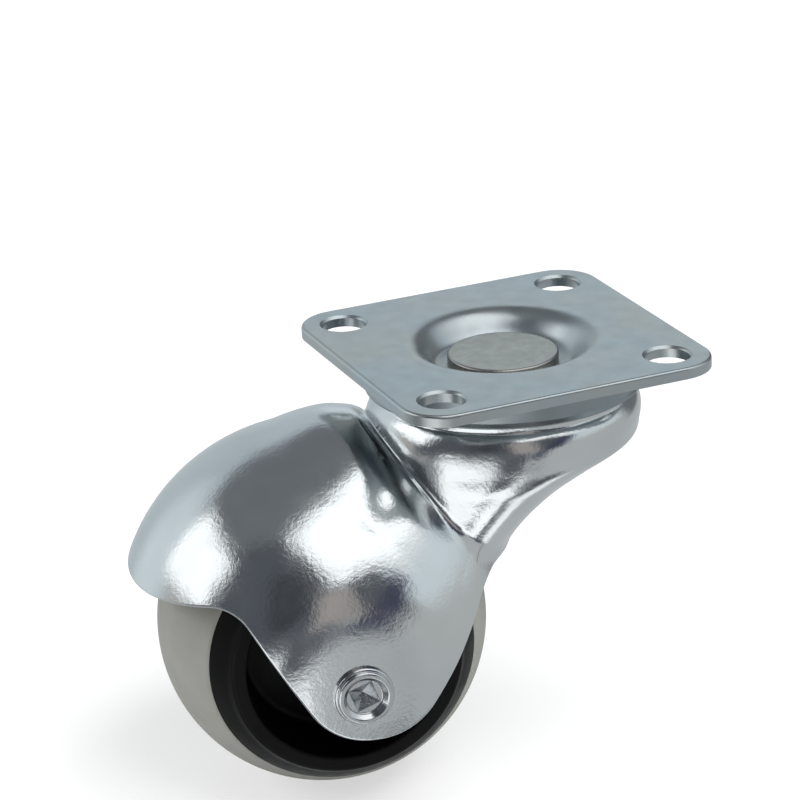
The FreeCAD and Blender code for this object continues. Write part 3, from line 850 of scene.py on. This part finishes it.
class CASTOR_OT_ball(bpy.types.Operator):
    """Build the ball: moulded core with deep recesses, and the soft tread band round it"""
    bl_idname = "castor.ball"
    bl_label = "Ball"

    def execute(self, context):
        sizes = context.scene.castor_ball
        finish = context.scene.castor_finish
        radius, half = sizes.radius / MM, sizes.tread / MM
        skin = radius - sizes.step / MM
        face = sizes.face / MM
        bed = math.sqrt(radius ** 2 - half ** 2) - sizes.tread_edge / MM
        recess, floor = sizes.recess / MM, sizes.recess_floor / MM
        hub, hub_end, bore = sizes.hub / MM, sizes.hub_end / MM, sizes.sleeve / MM
        flange_lead, flange_swell = 0.75, 0.28
        recess_draft, hub_draft = 0.7, 0.5
        flange_round, mouth_round, floor_round = 0.5, 0.35, 0.8
        root_round, hub_round, bore_round = 0.6, 0.5, 0.2
        flange = math.asin((face - flange_lead) / skin)
        bend_steps, crown_steps = 12, 65
        bend = np.linspace(math.asin(half / skin), flange, bend_steps)
        side = np.stack([skin * np.cos(bend), skin * np.sin(bend)], 1)
        lip = math.sqrt(skin ** 2 - face ** 2)
        right = np.vstack([
            [[bed, half]], side,
            rounded_path([
                (side[-1, 0], side[-1, 1], 0), (lip + flange_swell, face, flange_round),
                (recess, face, mouth_round), (recess - recess_draft, floor, floor_round),
                (hub + hub_draft, floor, root_round), (hub, hub_end, hub_round),
                (bore, hub_end, bore_round), (bore, 0, 0)], closed=False)[1:],
        ])
        left = (right * [1, -1])[::-1]
        core = turned_piece("core_moulding", np.vstack([right, left[1:]]), columns=224)
        plastic = black_polyamide("moulded_black_polyamide", finish.core)
        dress(core, plastic, "wheel", "core_plastic", "wheel_core")
        edge = half - MOULDING_GAP
        inner = bed + MOULDING_GAP
        edge_lead, edge_drop = 0.25, 0.14
        swell = math.asin((edge - edge_lead) / radius)
        crown = np.linspace(-swell, swell, crown_steps)
        band = np.stack([radius * np.cos(crown), radius * np.sin(crown)], 1)
        corner = math.sqrt(radius ** 2 - edge ** 2) - edge_drop
        profile = np.vstack([
            [[inner, -edge], [corner, -edge]], band, [[corner, edge], [inner, edge]]])
        tread = turned_piece("tread_band", profile, columns=256)
        rubber = grey_elastomer("moulded_grey_elastomer", finish.tread)
        dress(tread, rubber, "wheel", "tread_rubber", "wheel_tread")
        return {"FINISHED"}


class CASTOR_OT_rivet(bpy.types.Operator):
    """Build the axle rivet: rolled rim, cup, and a pointed dent with a square mouth"""
    bl_idname = "castor.rivet"
    bl_label = "Axle rivet"

    def execute(self, context):
        sizes = context.scene.castor_ball
        ear = context.scene.castor_hood.ear / MM
        flange, rim, cup = sizes.rivet_flange / MM, sizes.rivet_rim / MM, sizes.rivet_cup / MM
        crest = sizes.rivet_crest / MM
        shank, head, head_round = 2.7, 3.8, 0.85
        head_top, step, top = -ear - 1.2, ear + 0.6, ear + 1.1
        throat, floor, tip = ear + 0.65, ear + 0.35, ear - 0.95
        mouth, mouth_turn = 1.42, math.radians(20.25)
        rim_round, step_round, throat_round, cup_round = 0.25, 0.05, 0.1, 0.12
        profile = rounded_path([
            (0, head_top, 0), (head, head_top, head_round), (head, -ear, 0), (shank, -ear, 0),
            (shank, ear, 0), (flange, ear, 0), (flange, step, rim_round), (rim, step, step_round),
            (rim, top, rim_round), (crest, top, rim_round), (cup, throat, throat_round),
            (cup, floor, cup_round), (mouth, floor, 0), (0, tip, 0)])
        points, quads = lathe(profile, RIVET_COLUMNS, axle=True)
        rings = points.reshape(len(profile), RIVET_COLUMNS, 3)
        # Dividing a circle's radius by the larger of |cos| and |sin| makes the mouth square.
        bearing = np.linspace(0, 2 * math.pi, RIVET_COLUMNS, endpoint=False) + mouth_turn
        square = 1 / np.maximum(np.abs(np.cos(bearing)), np.abs(np.sin(bearing)))
        rings[-2, :, 0] *= square
        rings[-2, :, 2] *= square
        rivet = mesh_piece("rolled_rivet", on_axle(rings.reshape(-1, 3)), quads, sharp_degrees=30)
        zinc = bright_zinc("rolled_zinc_rivet", context.scene.castor_finish.rivet)
        dress(rivet, zinc, "hood", "pin_steel", "axle_rivet")
        return {"FINISHED"}


class CASTOR_OT_solids(bpy.types.Operator):
    """Give the solids that stay in view their finishes"""
    bl_idname = "castor.solids"
    bl_label = "Bearing and sleeve"

    def execute(self, context):
        finish = context.scene.castor_finish
        steel = bearing_steel("ground_bearing_steel", finish.hood)
        zinc = dull_zinc("drawn_zinc_sleeve", finish.pin)
        for node, material in (
                ("upper_balls", steel), ("lower_balls", steel), ("lower_race", zinc),
                ("axle_sleeve", zinc)):
            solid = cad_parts[node]
            solid.data.materials.clear()
            solid.data.materials.append(material)
        return {"FINISHED"}


class CASTOR_OT_stage(bpy.types.Operator):
    """Set the pale floor, the studio light and the camera"""
    bl_idname = "castor.stage"
    bl_label = "Stage"

    def execute(self, context):
        scene = context.scene
        build_floor(scene)
        build_world(scene)
        build_lamps()
        build_camera(scene)
        return {"FINISHED"}


def to_camera(tree, output, other, seen):
    """Joins two shaders to the output: one that the camera sees, and one for all other rays."""
    path = add_node(tree, "LightPath")
    mix = add_node(tree, "MixShader", {
        0: path.outputs["Is Camera Ray"], 1: other.outputs[0], 2: seen.outputs[0]})
    tree.links.new(mix.outputs[0], output.inputs["Surface"])


def build_floor(scene):
    """A plain pale floor under the ball. To the camera a share of its white comes from its own
    glow, so that the background is white and the shadow soft."""
    half, shadow_share = 1.5, 0.4
    drop = -scene.castor_stage.floor_drop
    corners = [(-half, -half, drop), (half, -half, drop), (half, half, drop), (-half, half, drop)]
    mesh = bpy.data.meshes.new("studio_floor")
    mesh.from_pydata(corners, [], [(0, 1, 2, 3)])
    floor = link_object("studio_floor", mesh)
    material, tree, output, _ = blank_material("pale_studio_floor")
    rgb = list(scene.castor_finish.floor) + [1.0]
    dimmed = shade(scene.castor_finish.floor, shadow_share)
    matte = add_node(tree, "BsdfDiffuse", {"Color": rgb})
    shaded = add_node(tree, "BsdfDiffuse", {"Color": dimmed})
    glow = add_node(tree, "Emission", {"Color": rgb, "Strength": 1 - shadow_share})
    paper = add_node(tree, "AddShader", {0: shaded.outputs[0], 1: glow.outputs[0]})
    to_camera(tree, output, matte, paper)
    floor.visible_glossy = False
    floor.data.materials.append(material)


def bearing_vector(bearing, height):
    """Unit vector at a bearing from +X and a height above the horizon, in degrees."""
    a, e = math.radians(bearing), math.radians(height)
    return np.array([math.cos(e) * math.cos(a), math.cos(e) * math.sin(a), math.sin(e)])


def ray_part(tree, ray, axis):
    """Part of a ray along an axis."""
    return add_node(
        tree, "VectorMath", {0: ray, 1: axis.tolist()}, operation="DOT_PRODUCT").outputs["Value"]


def arithmetic(tree, operation, *values):
    """Result of a math node."""
    return add_node(tree, "Math", enumerate(values), operation=operation).outputs[0]


def panel_mask(tree, ray, bearing, height, half_width, half_height, softness, turn):
    """How much a ray meets a flat soft-edged panel turned about its middle: ray parts along and
    across the panel, over the part towards it, against the tangents of its half angles."""
    towards = bearing_vector(bearing, height)
    level = bearing_vector(bearing + 90, 0)
    rise = np.cross(towards, level)
    lean = math.radians(turn)
    across = math.cos(lean) * level + math.sin(lean) * rise
    up = math.cos(lean) * rise - math.sin(lean) * level
    shallowest = 0.001
    depth = arithmetic(tree, "MAXIMUM", ray_part(tree, ray, towards), shallowest)
    sides = []
    for axis, half_angle in ((across, half_width), (up, half_height)):
        slope = arithmetic(tree, "DIVIDE", ray_part(tree, ray, axis), depth)
        half = math.tan(math.radians(half_angle))
        edge = math.tan(math.radians(softness)) * (1 + half ** 2)
        sides.append(add_node(tree, "MapRange", {
            "Value": arithmetic(tree, "ABSOLUTE", slope), "From Min": max(0.0, half - edge),
            "From Max": half + edge, "To Min": 1.0, "To Max": 0.0},
            interpolation_type="SMOOTHSTEP").outputs[0])
    return arithmetic(tree, "MULTIPLY", *sides)


# Name, bearing and height of the middle, half width, half height, softness and turn in degrees,
# colour and strength. A later panel covers an earlier one.
STUDIO_PANELS = (
    ("white table", 0, -90, 84, 84, 4, 0, "#C3C5C6", 1.0),
    ("table end", 162, 0, 22, 12, 4, 0, "#BDBAB6", 1.0),
    ("dark floor", -126, -52, 46, 14, 5, -21, "#55575D", 1.0),
    ("lit table", -136, -19, 37, 14, 4, -19, "#FFFFFF", 1.5),
    ("lit table front", -99, -43, 8, 15, 4, 34, "#FFFFFF", 1.5),
    ("lit floor", -48, -66, 12, 9, 4, 0, "#FFFFFF", 1.3),
    ("table edge", -76, -47, 4, 17, 3, 33, "#6E7075", 1.0),
    ("table foot", 180, -16, 15, 13, 4, 0, "#858B8F", 1.0),
    ("pale side wall", -30, 31, 33, 33, 9, 0, "#E4ECF0", 1.0),
    ("wall under the lamp", -34, 50, 20, 14, 8, 0, "#FFFFFF", 1.1),
    ("side wall foot", -45, -2, 52, 15, 8, 0, "#C5C6C5", 1.0),
    ("camera side", -130, 34, 64, 30, 5, 0, "#5C5F65", 1.0),
    ("dark skirting", -108, -8, 12, 14, 4, 0, "#63666C", 1.0),
    ("grey screen", -99, 19, 10, 19, 4, 8, "#B3ABA7", 1.0),
    ("dark screen", -131, 30, 11, 16, 5, 0, "#46484D", 1.0),
    ("lamp stand", -74, 11, 6, 29, 4, -35, "#45475A", 1.0),
    ("far low sheet", 99, 7, 40, 31, 6, 0, "#C3CCD1", 1.0),
    ("far door", 60, 22, 12, 18, 5, 0, "#DCE6EB", 1.0),
    ("sheet by the lamp", 126, 8, 18, 26, 10, 0, "#E6EEF2", 1.0),
    ("left softbox", 156, 27, 20, 15, 3, 0, "#FFFFFF", 1.6),
    ("overhead softbox", -66, 66, 27, 21, 3, 0, "#FFFFFF", 1.6),
)
ROOM_GREY = "#787B7F"
# Name, bearing and height in degrees, distance and side in metres, watts.
LAMPS = (
    ("overhead_lamp", -62, 64, 0.9, 0.6, 7.0),
    ("left_lamp", 158, 30, 0.9, 0.45, 2.5),
)
LAMP_AIM = (0, 0, -0.025)


def build_world(scene):
    """White to the camera. To everything else, a grey room with the panels of a small studio."""
    world = bpy.data.worlds.new("studio_light")
    world.use_nodes = True
    tree = world.node_tree
    tree.nodes.clear()
    output = add_node(tree, "OutputWorld")
    ray = add_node(tree, "TexCoord").outputs["Generated"]
    light = colour(ROOM_GREY) + [1.0]
    for name, bearing, height, width, tall, softness, turn, tone, strength in STUDIO_PANELS:
        mask = panel_mask(tree, ray, bearing, height, width, tall, softness, turn)
        light = mixed(tree, mask, light, [c * strength for c in colour(tone)] + [1.0])
    white = add_node(tree, "Background", {"Color": (1, 1, 1, 1)})
    room = add_node(tree, "Background", {"Color": light})
    to_camera(tree, output, room, white)
    scene.world = world


def build_lamps():
    """Large soft lamps behind the panels that show in the metal."""
    for name, bearing, height, distance, size, power in LAMPS:
        light = bpy.data.lights.new(name, "AREA")
        light.shape = "SQUARE"
        light.size = size
        light.energy = power
        lamp = link_object(name, light)
        lamp.visible_glossy = False
        away = bearing_vector(bearing, height)
        aim_object(lamp, away * distance + LAMP_AIM, -away)


def aim_object(thing, place, forward):
    """Puts a lamp or camera at a place, looking along forward with Z up."""
    forward = forward / np.linalg.norm(forward)
    right = np.cross(forward, [0, 0, 1])
    right /= np.linalg.norm(right)
    up = np.cross(right, forward)
    turn = np.eye(4)
    turn[:3, 0], turn[:3, 1], turn[:3, 2], turn[:3, 3] = right, up, -forward, place
    thing.matrix_world = Matrix(turn.tolist())


# Bearing, tilt and roll of the view in degrees, found from the plate and the ball.
CAMERA_TURN = (67.852, 21.451, -2.785)
CAMERA_PLACE = (-0.14673, -0.31898, 0.13111)
CAMERA_SHIFT = (0.0381, -0.0011)
CAMERA_CLIP = (0.01, 10)


def build_camera(scene):
    """The camera of the main view."""
    data = bpy.data.cameras.new("view_camera")
    data.sensor_width = 36.0
    data.lens = scene.castor_stage.focal
    data.shift_x, data.shift_y = CAMERA_SHIFT
    data.clip_start, data.clip_end = CAMERA_CLIP
    camera = link_object("view_camera", data)
    bearing, tilt, roll = CAMERA_TURN
    aim_object(camera, CAMERA_PLACE, bearing_vector(bearing, -tilt))
    camera.matrix_world = camera.matrix_world @ Matrix.Rotation(math.radians(roll), 4, "Z")
    scene.camera = camera


class CASTOR_PT_panel(bpy.types.Panel):
    """Sidebar panel that lists the pieces"""
    bl_idname = "CASTOR_PT_panel"
    bl_label = "Ball castor"
    bl_space_type = "VIEW_3D"
    bl_region_type = "UI"
    bl_category = "Castor"

    def draw(self, context):
        for operator in OPERATORS:
            self.layout.operator(operator.bl_idname)


OPERATORS = (
    CASTOR_OT_plate, CASTOR_OT_kingpin, CASTOR_OT_hood, CASTOR_OT_ball, CASTOR_OT_rivet,
    CASTOR_OT_solids, CASTOR_OT_stage)
GROUPS = {
    "castor_plate": PlateSizes, "castor_hood": HoodSizes, "castor_ball": BallSizes,
    "castor_finish": Finishes, "castor_stage": StageSizes}


def register():
    """Registers the groups, operators and panel, and hangs the groups on the scene."""
    for name, group in GROUPS.items():
        bpy.utils.register_class(group)
        setattr(bpy.types.Scene, name, PointerProperty(type=group))
    for item in OPERATORS + (CASTOR_PT_panel,):
        bpy.utils.register_class(item)


def unregister():
    """Takes everything off again."""
    for item in (CASTOR_PT_panel,) + OPERATORS[::-1]:
        bpy.utils.unregister_class(item)
    for name, group in GROUPS.items():
        delattr(bpy.types.Scene, name)
        bpy.utils.unregister_class(group)


def main():
    """Registers the add-on, builds every piece and the stage, and sets the Standard view transform.
    """
    register()
    for operator in OPERATORS:
        getattr(bpy.ops.castor, operator.bl_idname.split(".")[1])()
    bpy.context.scene.view_settings.view_transform = "Standard"


if __name__ == "__main__":
    main()
